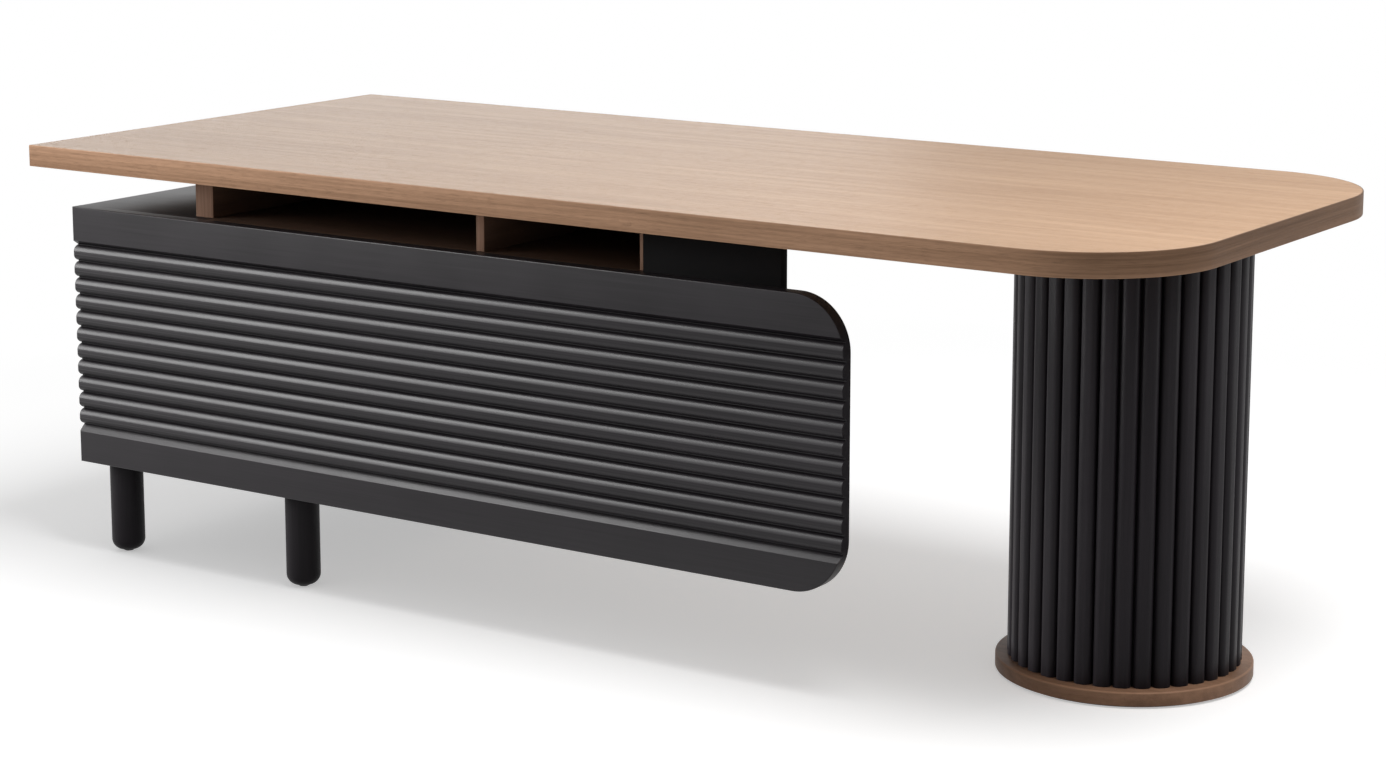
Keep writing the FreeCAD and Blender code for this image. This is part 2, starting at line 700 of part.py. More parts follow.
def make_drawer(number, name):
    """One drawer with its telescopic runners; drawers are counted from the lowest."""
    cell = f"({OPENING_HEIGHT} / {len(DRAWERS)})"
    cell_z = f"({OPENING_BOTTOM} + {number} * {cell})"
    front_width = f"{INNER_WIDTH} - 2 * Sizes.front_gap"
    front_height = f"({cell} - Sizes.front_gap - Sizes.finger_gap)"
    corners = [
        ("0", "0"),
        ("Sizes.board_thick", "0"),
        ("Sizes.board_thick", front_height),
        ("Sizes.finger_slope", front_height),
        ("0", f"{front_height} - Sizes.finger_slope"),
    ]
    front = keep(padded(f"drawer_{name}_front", "YZ_Plane", corners, front_width))
    front_y = f"({BACK} - Sizes.board_thick)"
    place(front, f"{INNER_LEFT} + Sizes.front_gap", front_y, f"{cell_z} + Sizes.front_gap")

    wall = "Sizes.box_wall"
    box_y = f"({front_y} - Sizes.runner_length)"
    box_z = f"({cell_z} + Sizes.box_lift)"
    box_height = f"({cell} - Sizes.box_lift - Sizes.box_headroom)"
    left_x = f"({INNER_LEFT} + Sizes.runner_width)"
    right_x = f"({INNER_RIGHT} - Sizes.runner_width - {wall})"
    inner_x = f"({left_x} + {wall})"
    inner_width = f"({right_x} - {inner_x})"
    length = "Sizes.runner_length"
    keep(block(f"drawer_{name}_left_side", left_x, box_y, box_z, wall, length, box_height))
    keep(block(f"drawer_{name}_right_side", right_x, box_y, box_z, wall, length, box_height))
    keep(block(f"drawer_{name}_back", inner_x, box_y, box_z, inner_width, wall, box_height))
    keep(block(
        f"drawer_{name}_bottom", inner_x, f"{box_y} + {wall}", f"{box_z} + Sizes.bottom_rise",
        inner_width, f"{length} - {wall}", "Sizes.box_bottom",
    ))

    step = "(Sizes.runner_steel + Sizes.runner_clear)"
    middle_z = f"({box_z} + {box_height} / 2)"
    nested = (("outer", 0), ("middle", 1), ("inner", 2))
    for member, level in nested:
        height = f"(Sizes.runner_height - {2 * level} * {step})"
        z = f"({middle_z} - {height} / 2)"
        offset = f"{level} * {step}"
        depth = f"(Sizes.runner_depth - {offset})"
        if member == "inner":
            depth = f"(Sizes.runner_width - {offset})"
        web_inside = member == "inner"
        pair = [
            channel(f"{name}_{member}_left", f"{INNER_LEFT} + {offset}", box_y, z, depth, height, not web_inside),
            channel(
                f"{name}_{member}_right", f"{INNER_RIGHT} - {offset} - {depth}", box_y, z, depth, height, web_inside
            ),
        ]
        keep(group(f"runner_{name}_{member}", pair))


def check_and_write():
    """Stop on any failed object or bad shape, then write each sub-part."""
    doc.recompute()
    failed = [item.Name for item in doc.Objects if "Invalid" in item.State or "Error" in item.State]
    if failed:
        raise RuntimeError(f"failed objects: {failed}")
    for item in sub_parts:
        if item.Shape.isNull() or not item.Shape.isValid() or not item.Shape.Solids:
            raise RuntimeError(f"bad shape: {item.Label}")
    os.makedirs("parts", exist_ok=True)
    for item in sub_parts:
        item.Shape.exportStep(f"parts/{item.Label}.step")
        print(item.Label, len(item.Shape.Solids), round(item.Shape.Volume))


make_top()
make_panel()
make_pedestal()
make_legs()
make_niche()
make_hanger()
make_fixings()
make_drum()
for number, name in enumerate(DRAWERS):
    make_drawer(number, name)
check_and_write()
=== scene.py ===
import json
import math
from contextlib import contextmanager
from functools import cache

import bmesh
import bpy
from bpy.props import FloatProperty, FloatVectorProperty, IntProperty, PointerProperty
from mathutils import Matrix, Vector

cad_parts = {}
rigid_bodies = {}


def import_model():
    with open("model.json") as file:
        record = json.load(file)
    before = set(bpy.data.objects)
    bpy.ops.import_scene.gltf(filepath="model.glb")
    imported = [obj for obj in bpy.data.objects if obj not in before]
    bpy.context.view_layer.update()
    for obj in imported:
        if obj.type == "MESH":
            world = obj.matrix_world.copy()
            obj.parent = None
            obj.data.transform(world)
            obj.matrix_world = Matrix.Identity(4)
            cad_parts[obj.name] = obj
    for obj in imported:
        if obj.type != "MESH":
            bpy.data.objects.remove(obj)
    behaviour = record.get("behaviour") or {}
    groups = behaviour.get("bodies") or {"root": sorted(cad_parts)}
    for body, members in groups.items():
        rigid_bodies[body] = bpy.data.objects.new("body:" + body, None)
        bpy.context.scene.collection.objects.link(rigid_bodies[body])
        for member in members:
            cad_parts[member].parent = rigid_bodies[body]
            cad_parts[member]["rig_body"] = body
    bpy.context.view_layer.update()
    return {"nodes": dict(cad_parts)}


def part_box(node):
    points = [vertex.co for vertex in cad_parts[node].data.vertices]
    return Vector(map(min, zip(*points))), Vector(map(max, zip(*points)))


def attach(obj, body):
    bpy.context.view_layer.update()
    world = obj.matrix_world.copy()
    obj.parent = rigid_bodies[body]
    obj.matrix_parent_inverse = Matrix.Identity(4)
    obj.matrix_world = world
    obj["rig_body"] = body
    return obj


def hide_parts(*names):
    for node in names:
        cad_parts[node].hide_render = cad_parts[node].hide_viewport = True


bl_info = {
    "name": "Office Desk",
    "version": (1, 0, 0),
    "blender": (4, 5, 0),
    "location": "View3D > Sidebar > Desk",
    "description": "Models and finishes an office desk round its construction frame, in a small studio",
    "category": "Object",
}

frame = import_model()

AXES = {"x": 0, "y": 1, "z": 2}
LEGS = ("front_left", "front_right", "back_left", "back_right")
DRAWERS = ("lower", "middle", "upper")
MEMBERS = ("outer", "middle", "inner")
RUNNERS = [f"runner_{drawer}_{member}" for drawer in DRAWERS for member in MEMBERS]

# How near counts as touching, and how nearly a direction has to follow an axis
CLOSE = 0.0001
PARALLEL = 0.999
SQUARE = 0.99
END_FACING = 0.9

# Eased edges, shading and ply layers
ARRIS_STEPS = 2
WIDEST_ARRIS = 0.002
SHARP_ANGLE = math.radians(35)
PLY_LAYER = 0.0014


# Settings that a user would change

def length(name, description, default):
    """A size in metres."""
    return FloatProperty(
        name=name, description=description, default=default, min=0, unit="LENGTH", precision=4
    )


def count(name, description, default, least):
    """A number of like shapes."""
    return IntProperty(name=name, description=description, default=default, min=least)


def colour(name, description, default):
    """A linear colour."""
    return FloatVectorProperty(
        name=name, description=description, default=default, size=3, min=0, max=1, subtype="COLOR"
    )


def angle(name, description, degrees):
    """An angle whose default is given in degrees."""
    return FloatProperty(
        name=name, description=description, default=math.radians(degrees), subtype="ANGLE"
    )


def power(name, description, default):
    """A lamp's power in watts."""
    return FloatProperty(name=name, description=description, default=default, min=0, unit="POWER")


def fraction(name, description, default):
    """A share from 0 to 1."""
    return FloatProperty(
        name=name, description=description, default=default, min=0, max=1, subtype="FACTOR"
    )


class DeskSizes(bpy.types.PropertyGroup):
    """Sizes of the shaped pieces."""

    board_arris: length("Board arris", "Width of the eased edge on the lacquered boards", 0.001)
    shelf_arris: length("Shelf arris", "Width of the eased edge on the oak shelf boards", 0.0008)
    box_arris: length("Box arris", "Width of the eased edge on the drawer boxes", 0.0006)
    lipping: length("Lipping", "Thickness of the lipping on the front of the shelf's uprights", 0.0015)
    top_corner: length("Top corner", "Radius of the top's two rounded corners", 0.215)
    edging_arris: length("Edging arris", "Round on the edging's outer edges", 0.0012)
    panel_corner: length("Panel corner", "Radius of the panel's two rounded corners", 0.088)
    panel_arris: length("Panel arris", "Round on the panel's front outline", 0.002)
    top_band: length("Top band", "Height of the flat band above the ribs", 0.061)
    band_slope: length("Band slope", "Height of the slope from the top band into the first groove", 0.008)
    ledge_slope: length("Ledge slope", "Height of the slope from the last groove onto the low band", 0.012)
    rib_count: count("Ribs", "Number of ribs on the panel", 11, least=1)
    rib_pitch: length("Rib pitch", "Distance from rib to rib", 0.030)
    rib_width: length("Rib width", "Width of a rib at its foot", 0.0284)
    rib_depth: length("Rib depth", "Height of a rib above its grooves", 0.012)
    leg_round: length("Leg round", "Radius round the foot of a leg", 0.020)
    leg_arris: length("Leg arris", "Eased edge at the head of a leg", 0.0006)
    glide_round: length("Glide round", "Radius on a glide's rim", 0.0012)
    stave_count: count("Staves", "Number of staves round the drum", 36, least=3)
    drum_radius: length("Drum radius", "Distance from the drum's axis to a stave's face", 0.185)
    stave_width: length("Stave width", "Width of a stave", 0.028)
    stave_depth: length("Stave depth", "Height of a stave above the core", 0.014)
    stave_round: length("Stave round", "Radius on a stave's two shoulders", 0.010)
    stave_arris: length("Stave arris", "Eased edge at a stave's ends", 0.0006)
    plinth_bevel: length("Plinth bevel", "Round on the plinth's top edge", 0.0025)
    plinth_arris: length("Plinth arris", "Eased edge under the plinth", 0.0008)
    foot_round: length("Foot round", "Radius under the drum's foot", 0.0012)
    finger_slope: length("Finger slope", "Slope behind the top of a drawer front", 0.012)


class DeskColours(bpy.types.PropertyGroup):
    """Colours of the finishes, light and dark where a finish has figure."""

    oak_light: colour("Oak light", "Early wood of the top's veneer", (0.53, 0.336, 0.206))
    oak_dark: colour("Oak dark", "Late wood of the top's veneer", (0.41, 0.245, 0.140))
    edging_light: colour("Edging light", "Early wood of the edging", (0.338, 0.199, 0.122))
    edging_dark: colour("Edging dark", "Late wood of the edging", (0.195, 0.110, 0.064))
    # Darker than the lipping: partly a dark stain, partly painted shade on the uprights' faces inside the
    # shelf
    smoked_light: colour("Smoked oak light", "Early wood of the shelf's uprights", (0.130, 0.080, 0.056))
    smoked_dark: colour("Smoked oak dark", "Late wood of the shelf's uprights", (0.066, 0.040, 0.028))
    # The shelf's floor and back: the uprights' oak darkened further as painted shade deep in the shelf
    shelf_light: colour("Shelf light", "Early wood of the shelf's floor and back", (0.060, 0.036, 0.025))
    shelf_dark: colour("Shelf dark", "Late wood of the shelf's floor and back", (0.030, 0.018, 0.0125))
    lipping_light: colour("Lipping light", "Early wood of the uprights' lipping", (0.290, 0.174, 0.121))
    lipping_dark: colour("Lipping dark", "Late wood of the uprights' lipping", (0.200, 0.117, 0.079))
    lacquer: colour("Black lacquer", "Boards, panel and drawer fronts", (0.0100, 0.0082, 0.0100))
    # Greyer lacquer on the eased edges: partly wear, partly a painted highlight
    lacquer_rubbed: colour("Rubbed lacquer", "Lacquer where edges are rubbed", (0.050, 0.046, 0.046))
    stain: colour("Black stain", "Drum staves and legs", (0.0089, 0.0073, 0.0090))
    walnut_light: colour("Walnut light", "Early wood of the plinth", (0.245, 0.136, 0.083))
    walnut_dark: colour("Walnut dark", "Late wood of the plinth", (0.130, 0.070, 0.041))
    birch_light: colour("Birch light", "Early wood of the drawer boxes", (0.66, 0.52, 0.36))
    birch_dark: colour("Birch dark", "Late wood of the drawer boxes", (0.50, 0.365, 0.235))
    birch_layer: colour("Birch layer", "Cross layers on the boxes' bare edges", (0.31, 0.20, 0.115))
    # Darker than the lacquer: partly painted shade on the hanger under the top and on the core between the
    # staves
    paint: colour("Black paint", "Painted board behind the staves and the panel", (0.0060, 0.0057, 0.0060))
    plastic: colour("Black plastic", "Glides and foot", (0.014, 0.014, 0.015))
    steel: colour("Zinc steel", "Runners, brackets and screws", (0.56, 0.57, 0.58))
    floor: colour("Floor", "Studio floor", (0.85, 0.85, 0.85))


class DeskStudio(bpy.types.PropertyGroup):
    """Camera, lamps and floor."""

    camera_place: FloatVectorProperty(
        name="Camera place", description="Where the camera stands", default=(2.8705, -4.2340, 1.4631),
        subtype="TRANSLATION", unit="LENGTH",
    )
    camera_turn: angle("Camera turn", "Turn about the vertical, from facing the panel", 34.027)
    camera_tilt: angle("Camera tilt", "How far the camera looks down", 10.109)
    camera_lens: FloatProperty(
        name="Camera lens", description="Focal length", default=78.64, subtype="DISTANCE_CAMERA"
    )
    camera_shift: FloatProperty(name="Camera shift", description="Upward shift of the lens", default=-0.08)
    key_power: power("Key power", "Power of the softbox at the left", 200)
    top_power: power("Top power", "Power of the panel above the right end", 45)
    sheen_power: power("Sheen power", "Power of the low panel behind the desk", 39)
    floor_power: power("Floor power", "Power of the panel that lights the floor", 116)
    left_wing_power: power("Left wing power", "Power of the panel left of the drum", 110)
    right_wing_power: power("Right wing power", "Power of the panel right of the drum", 18)
    fill: fraction("Fill", "Strength of the light from all round", 0.38)
    floor_glow: fraction("Floor glow", "Light of its own that the floor shows", 0.42)
    floor_width: length("Floor width", "Side of the studio floor", 40)
    shadow_reach: length("Shadow reach", "Distance from the desk's middle where the floor is white", 2.6)


# Modelling

def select_only(piece):
    """Makes one piece the active one and the only one selected."""
    bpy.ops.object.select_all(action="DESELECT")
    bpy.context.view_layer.objects.active = piece
    piece.select_set(True)


def add(kind, **settings):
    """Adds a primitive at its place, with nothing else selected."""
    bpy.ops.object.select_all(action="DESELECT")
    getattr(bpy.ops.mesh, f"primitive_{kind}_add")(**settings)
    bpy.ops.object.transform_apply()
    return bpy.context.object


def add_block(low, high):
    """A cube stretched between two corners."""
    return add("cube", size=1, location=(low + high) / 2, scale=high - low)


def add_rod(centre, radius, height, sides):
    """An upright cylinder round a centre."""
    return add("cylinder", vertices=sides, radius=radius, depth=height, location=centre)


@contextmanager
def editing(piece, parts="EDGE"):
    """Edit mode on one piece."""
    select_only(piece)
    bpy.ops.object.mode_set(mode="EDIT")
    bpy.ops.mesh.select_mode(type=parts)
    yield
    bpy.ops.object.mode_set(mode="OBJECT")


def pick(piece, parts, wanted):
    """Selects only the wanted faces, edges or verts of the piece in edit mode."""
    bpy.ops.mesh.select_all(action="DESELECT")
    mesh = bmesh.from_edit_mesh(piece.data)
    for part in getattr(mesh, parts):
        if wanted(part):
            part.select_set(True)
    bmesh.update_edit_mesh(piece.data)


def ends(edge):
    """The two end points of an edge."""
    return edge.verts[0].co, edge.verts[1].co


def runs_along(axis):
    """A test for edges that run along an axis."""
    def test(edge):
        start, end = ends(edge)
        return abs((end - start).normalized()[AXES[axis]]) > PARALLEL
    return test


def level_at(axis, *levels):
    """A test for edges that lie in a plane across an axis, at one of some levels."""
    def test(edge):
        places = [point[AXES[axis]] for point in ends(edge)]
        return any(all(abs(place - level) < CLOSE for place in places) for level in levels)
    return test


def every(edge):
    """A test that takes all edges."""
    return True


def bevel(piece, wanted, width, steps):
    """Rounds the wanted edges."""
    with editing(piece):
        pick(piece, "edges", wanted)
        bpy.ops.mesh.bevel(offset=width, segments=steps, affect="EDGES")


def mark_faces(piece, mark, wanted):
    """Gives the wanted faces of a piece a mark that its finish reads."""
    marks = piece.data.attributes.new(mark, "FLOAT", "FACE")
    for face in piece.data.polygons:
        marks.data[face.index].value = float(wanted(face))


def mark_arrises(piece):
    """Marks the narrow slanting faces along a piece's edges, where its finish is painted paler: partly
    wear, partly a painted highlight.
    """
    def worn_and_highlit(face):
        slanting = max(abs(part) for part in face.normal) < SQUARE
        points = [piece.data.vertices[index].co for index in face.vertices]
        longest = max((end - start).length for start, end in zip(points, points[1:] + points[:1]))
        return slanting and face.area / longest < WIDEST_ARRIS
    mark_faces(piece, "arris", worn_and_highlit)


def mark_lipping(piece, thick):
    """Parts a lipping off the front of a board and marks its faces."""
    joint = min(vert.co.y for vert in piece.data.vertices) + thick
    with editing(piece, "FACE"):
        bpy.ops.mesh.select_all(action="SELECT")
        bpy.ops.mesh.bisect(plane_co=(0, joint, 0), plane_no=(0, 1, 0))
    mark_faces(piece, "lipping", lambda face: face.center.y < joint)


def smooth(piece):
    """Shades rounds smooth and keeps edges sharp."""
    select_only(piece)
    bpy.ops.object.shade_smooth_by_angle(angle=SHARP_ANGLE)


def apply(piece, kind, **settings):
    """Adds a modifier, sets it and applies it."""
    select_only(piece)
    modifier = piece.modifiers.new(kind.title(), kind)
    for setting, value in settings.items():
        setattr(modifier, setting, value)
    bpy.ops.object.modifier_apply(modifier=modifier.name)


def repeat(piece, nodes):
    """A piece modelled at the first of some like nodes, and a copy with its own mesh at each other one."""
    start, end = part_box(nodes[0])
    pieces = [piece]
    for node in nodes[1:]:
        low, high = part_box(node)
        if (high - low - end + start).length > CLOSE:
            raise ValueError(f"{node} is not as large as {nodes[0]}")
        select_only(piece)
        bpy.ops.object.duplicate()
        twin = bpy.context.object
        twin.location = low - start
        bpy.ops.object.transform_apply()
        pieces.append(twin)
    return pieces


def hand_over(piece, name, material, node):
    """Names a finished piece, gives it its finish, and puts it on the body of the node it stands for."""
    piece.name = name
    piece.data.name = name
    piece.data.materials.clear()
    piece.data.materials.append(material)
    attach(piece, frame["nodes"][node]["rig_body"])
    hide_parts(node)


def carry_over(nodes, material):
    """Gives nodes of the frame their finish."""
    for node in nodes:
        for held in frame["nodes"][node].material_slots:
            held.material = material


def boards(names, material, arris, lipping=0.0, ply=False):
    """Like boards with eased edges, lipped or with bare ply edges if asked, each in place of its node."""
    nodes = list(names)
    piece = add_block(*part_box(nodes[0]))
    bevel(piece, every, arris, ARRIS_STEPS)
    if lipping:
        mark_lipping(piece, lipping)
    if ply:
        mark_faces(piece, "ply", lambda face: face.normal.z > SQUARE)
    mark_arrises(piece)
    smooth(piece)
    for node, board in zip(nodes, repeat(piece, nodes)):
        hand_over(board, names[node], material, node)


def end_rounded_block(low, high, radius, axis, steps):
    """A block whose two edges at its right end, along an axis, are rounded."""
    piece = add_block(low, high)
    runs = runs_along(axis)
    right = level_at("x", high.x)
    bevel(piece, lambda edge: runs(edge) and right(edge), radius, steps)
    return piece


# Node trees

class Wire:
    """One output in a node tree; arithmetic on it adds Math nodes."""

    def __init__(self, nodes, output):
        self.nodes = nodes
        self.output = output

    def math(self, operation, *values):
        """Adds a Math node."""
        return self.nodes.node("ShaderNodeMath", {"operation": operation}, dict(enumerate(values)))

    def __add__(self, other):
        return self.math("ADD", self, other)

    def __sub__(self, other):
        return self.math("SUBTRACT", self, other)

    def __rsub__(self, other):
        return self.math("SUBTRACT", other, self)

    def __mul__(self, other):
        return self.math("MULTIPLY", self, other)

    def __truediv__(self, other):
        return self.math("DIVIDE", self, other)

    def __rtruediv__(self, other):
        return self.math("DIVIDE", other, self)

    def __gt__(self, other):
        return self.math("GREATER_THAN", self, other)

    __radd__ = __add__
    __rmul__ = __mul__


class Nodes:
    """A node tree and the ways to add to it."""

    def __init__(self, tree):
        self.tree = tree

    def node(self, kind, settings=None, inputs=None, output=0):
        """Adds a node, sets it up, gives its sockets their values or links, and hands back one output."""
        made = self.tree.nodes.new(kind)
        for setting, value in (settings or {}).items():
            setattr(made, setting, value)
        self.connect(made, inputs or {})
        return Wire(self, made.outputs[output])

    def connect(self, node, inputs):
        """Gives a node's sockets their values or links."""
        for socket, value in inputs.items():
            if isinstance(value, Wire):
                self.tree.links.new(value.output, node.inputs[socket])
            else:
                node.inputs[socket].default_value = value

    def seen(self):
        """1 for what the camera sees itself, in a reflection or through glass."""
        kinds = ("Is Camera Ray", "Is Glossy Ray", "Is Transmission Ray")
        camera, glossy, through = (self.node("ShaderNodeLightPath", output=kind) for kind in kinds)
        return camera.math("MAXIMUM", camera.math("MAXIMUM", camera, glossy), through)


class Finish(Nodes):
    """A procedural material: a Principled shader and the nodes that feed it."""

    noise_mean = 0.5
    mix_first = 6
    mix_second = 7
    mix_result = 2

    def __init__(self, name, constants):
        self.material = bpy.data.materials.new(name)
        self.material.use_nodes = True
        super().__init__(self.material.node_tree)
        self.shader = self.tree.nodes["Principled BSDF"]
        self.feed(constants)

    def feed(self, inputs):
        """Gives the shader's sockets their values or links."""
        self.connect(self.shader, inputs)

    def place(self):
        """The surface point in the desk's own frame."""
        return self.node("ShaderNodeTexCoord", output="Object")

    def stretched(self, place, scale):
        """The place scaled along each axis."""
        return self.node("ShaderNodeMapping", {}, {"Vector": place, "Scale": scale})

    def noise(self, place, scale=1.0, detail=2.0, roughness=0.5, distortion=0.0):
        """Fractal noise from 0 to 1."""
        return self.node("ShaderNodeTexNoise", {}, {
            "Vector": place, "Scale": scale, "Detail": detail,
            "Roughness": roughness, "Distortion": distortion,
        })

    def grain(self, place, axis, run, across, **settings):
        """Noise with one scale along an axis and another across it."""
        scale = tuple(run if number == AXES[axis] else across for number in range(3))
        return self.noise(self.stretched(place, scale), **settings)

    def spread(self, value, low, high):
        """A value stretched so that low becomes 0 and high becomes 1, and held there."""
        return self.node(
            "ShaderNodeMapRange", {"clamp": True}, {"Value": value, "From Min": low, "From Max": high}
        )

    def sway(self, middle, *swings):
        """A middle value that noises move up and down, each by its own width."""
        for noise, width in swings:
            middle = middle + (noise - self.noise_mean) * width
        return middle

    def mixture(self, first, second, share):
        """A mix of two values, with a share of the second."""
        return first * (1 - share) + second * share

    def blend(self, factor, first, second):
        """A mix of two colours, on the Mix node's colour sockets."""
        inputs = {0: factor, self.mix_first: first, self.mix_second: second}
        return self.node("ShaderNodeMix", {"data_type": "RGBA"}, inputs, self.mix_result)

    def shaded(self, factor, tint, low, high):
        """A tint that runs from a darker to a lighter shade of itself."""
        return self.blend(factor, opaque(Vector(tint) * low), opaque(Vector(tint) * high))

    def marked(self, mark):
        """1 on the faces that carry a mark."""
        return self.node("ShaderNodeAttribute", {"attribute_name": mark}, {}, "Fac")

    def bump(self, height, depth):
        """A normal from a height, of which 1 stands for a depth in metres."""
        return self.node("ShaderNodeBump", {}, {"Strength": 1.0, "Distance": depth, "Height": height})


def opaque(tint):
    """A colour property as four numbers."""
    return (*tint, 1.0)


def shades():
    """The colours in use."""
    return bpy.context.scene.desk_colours


# Grain: repeats per metre along and across it, then how much each pattern shows, and the paler eased edges
# that are partly wear and partly painted highlight

FIGURE = {"run": 0.7, "across": 9, "detail": 3, "roughness": 0.55, "distortion": 0.8}
STREAK = {"run": 2.6, "across": 52, "detail": 5, "roughness": 0.65}
FIBRE = {"run": 9, "across": 620, "detail": 2, "roughness": 0.6}
PORES = {"run": 38, "across": 1500, "detail": 1}
LIPPING_STREAK = {"run": 4, "across": 220, "detail": 4, "roughness": 0.6}
EDGING_STRETCH = (1, 3, 1)

FIGURE_SHARE = 0.35
STREAK_SHARE = 0.50
FIBRE_SHARE = 0.15
TONE_REACH = 0.22
PORE_START = 0.60
PORE_FULL = 0.70
PORE_SHARE = 0.30
PORE_SHADE = 0.55
PORE_DULLNESS = 0.08
FIBRE_DULLNESS = 0.16
# Paler eased edges: partly wear, partly a painted highlight along the edges
WORN_AND_HIGHLIT_SHARE = 0.55
WORN_AND_HIGHLIT_SHADE = 1.15
FIBRE_RISE = 0.35
PORE_FALL = 0.65
WOOD_RELIEF = 0.00025
STAIN_DULLNESS = 0.06
# How far the lacquer's eased edges turn greyer: partly wear, partly painted highlight
WORN_AND_HIGHLIT_LACQUER = 0.7


def timber(finish, place, axis):
    """The streaks, fibre and pores of straight-grained wood."""
    streak = finish.grain(place, axis, **STREAK)
    fibre = finish.grain(place, axis, **FIBRE)
    pores = finish.spread(finish.grain(place, axis, **PORES), PORE_START, PORE_FULL)
    return streak, fibre, pores


def wood(name, kind, axis, roughness, sheen, contrast=1.0, place=Finish.place):
    """Straight-grained wood: broad figure, streaks, fibre and pores, paler on its eased edges as wear and
    painted highlight.
    """
    light = getattr(shades(), f"{kind}_light")
    dark = getattr(shades(), f"{kind}_dark")
    finish = Finish(name, {"Specular IOR Level": sheen})
    spot = place(finish)
    figure = finish.grain(spot, axis, **FIGURE)
    streak, fibre, pores = timber(finish, spot, axis)
    pattern = figure * FIGURE_SHARE + streak * STREAK_SHARE + fibre * FIBRE_SHARE
    reach = TONE_REACH / contrast
    tone = finish.spread(pattern, finish.noise_mean - reach, finish.noise_mean + reach)
    body = finish.blend(tone, opaque(dark), opaque(light))
    pored = finish.blend(pores * PORE_SHARE, body, opaque(Vector(dark) * PORE_SHADE))
    # Eased edges painted paler: partly wear, partly a painted highlight
    worn_and_highlit = finish.marked("arris") * WORN_AND_HIGHLIT_SHARE
    tint = finish.blend(worn_and_highlit, pored, opaque(Vector(light) * WORN_AND_HIGHLIT_SHADE))
    finish.feed({
        "Base Color": tint,
        "Roughness": finish.sway(roughness, (fibre, FIBRE_DULLNESS)) + pores * PORE_DULLNESS,
        "Normal": finish.bump(fibre * FIBRE_RISE - pores * PORE_FALL, WOOD_RELIEF),
    })
    return finish, tint


def edging_place(finish):
    """The place along the edging and up its height, from its own map, with finer figure than the top's."""
    return finish.stretched(finish.node("ShaderNodeUVMap", {"uv_map": "run"}), EDGING_STRETCH)


# Finishes, each made the first time it is asked for

@cache
def oak_veneer():
    """The top's veneer, with its grain along the desk."""
    finish, _ = wood("oak_veneer", "oak", "x", roughness=0.42, sheen=0.08, contrast=1.8)
    return finish.material


@cache
def oak_edging():
    """The band round the top, with its grain following the edge."""
    finish, _ = wood(
        "oak_edging", "edging", "x", roughness=0.48, sheen=0.10, contrast=2.2, place=edging_place
    )
    return finish.material


@cache
def shelf_oak():
    """The darkest oak, on the open shelf's floor and back: the uprights' oak darkened further as painted
    shade deep in the shelf.
    """
    finish, _ = wood("shelf_oak", "shelf", "x", roughness=0.52, sheen=0.12)
    return finish.material


@cache
def smoked_oak():
    """Dark oak of the open shelf's uprights, partly a dark stain and partly painted shade, with a paler
    lipping whose grain stands upright.
    """
    finish, tint = wood("smoked_oak", "smoked", "y", roughness=0.52, sheen=0.12)
    streak = finish.grain(finish.place(), "z", **LIPPING_STREAK)
    tone = finish.spread(streak, low=0.35, high=0.65)
    pale = finish.blend(tone, opaque(shades().lipping_dark), opaque(shades().lipping_light))
    finish.feed({"Base Color": finish.blend(finish.marked("lipping"), tint, pale)})
    return finish.material


@cache
def walnut():
    """The drum's plinth."""
    finish, _ = wood("walnut_plinth", "walnut", "x", roughness=0.45, sheen=0.15, contrast=1.7)
    return finish.material


@cache
def birch(axis):
    """Drawer boxes of birch ply, whose layers show on their bare top edges."""
    finish, tint = wood(f"birch_{axis}", "birch", axis, roughness=0.55, sheen=0.2, contrast=0.8)
    thickness = "X" if axis == "y" else "Y"
    across = finish.node("ShaderNodeSeparateXYZ", {}, {0: finish.place()}, thickness)
    pairs = across / (2 * PLY_LAYER)
    second_of_pair = pairs.math("FRACT", pairs) > 0.5
    dark_layer = finish.marked("ply") * second_of_pair
    finish.feed({"Base Color": finish.blend(dark_layer, tint, opaque(shades().birch_layer))})
    return finish.material


@cache
def black_lacquer(axis):
    """Satin lacquer over fine-grained board, greyer in patches on its eased edges: partly wear, partly a
    painted highlight.
    """
    finish = Finish(f"black_lacquer_{axis}", {"Specular IOR Level": 0.28})
    place = finish.place()
    fibre = finish.grain(place, axis, run=5, across=420, detail=3, roughness=0.6)
    cloud = finish.noise(place, scale=7, detail=3)
    peel = finish.noise(place, scale=900, detail=1)
    patches = finish.spread(finish.noise(place, scale=60, detail=3), low=0.38, high=0.62)
    tone = finish.spread(finish.mixture(fibre, cloud, share=0.4), low=0.35, high=0.65)
    ground = finish.shaded(tone, shades().lacquer, low=0.72, high=1.28)
    # Greyer patches on the eased edges: partly wear, partly a painted highlight
    worn_and_highlit = finish.marked("arris") * patches * WORN_AND_HIGHLIT_LACQUER
    finish.feed({
        "Base Color": finish.blend(worn_and_highlit, ground, opaque(shades().lacquer_rubbed)),
        "Roughness": finish.sway(0.37, (cloud, 0.12), (fibre, 0.10)),
        "Normal": finish.bump(finish.mixture(fibre, peel, share=0.3), depth=0.00012),
    })
    return finish.material


@cache
def black_stain(axis):
    """Black stain with the grain still open."""
    finish = Finish(f"black_stain_{axis}", {"Specular IOR Level": 0.11})
    streak, fibre, pores = timber(finish, finish.place(), axis)
    tone = finish.spread(finish.mixture(streak, fibre, share=0.4), low=0.34, high=0.66)
    finish.feed({
        "Base Color": finish.shaded(tone, shades().stain, low=0.68, high=1.32),
        "Roughness": finish.sway(0.44, (streak, 0.14)) + pores * STAIN_DULLNESS,
        "Normal": finish.bump(fibre - pores, depth=0.00009),
    })
    return finish.material


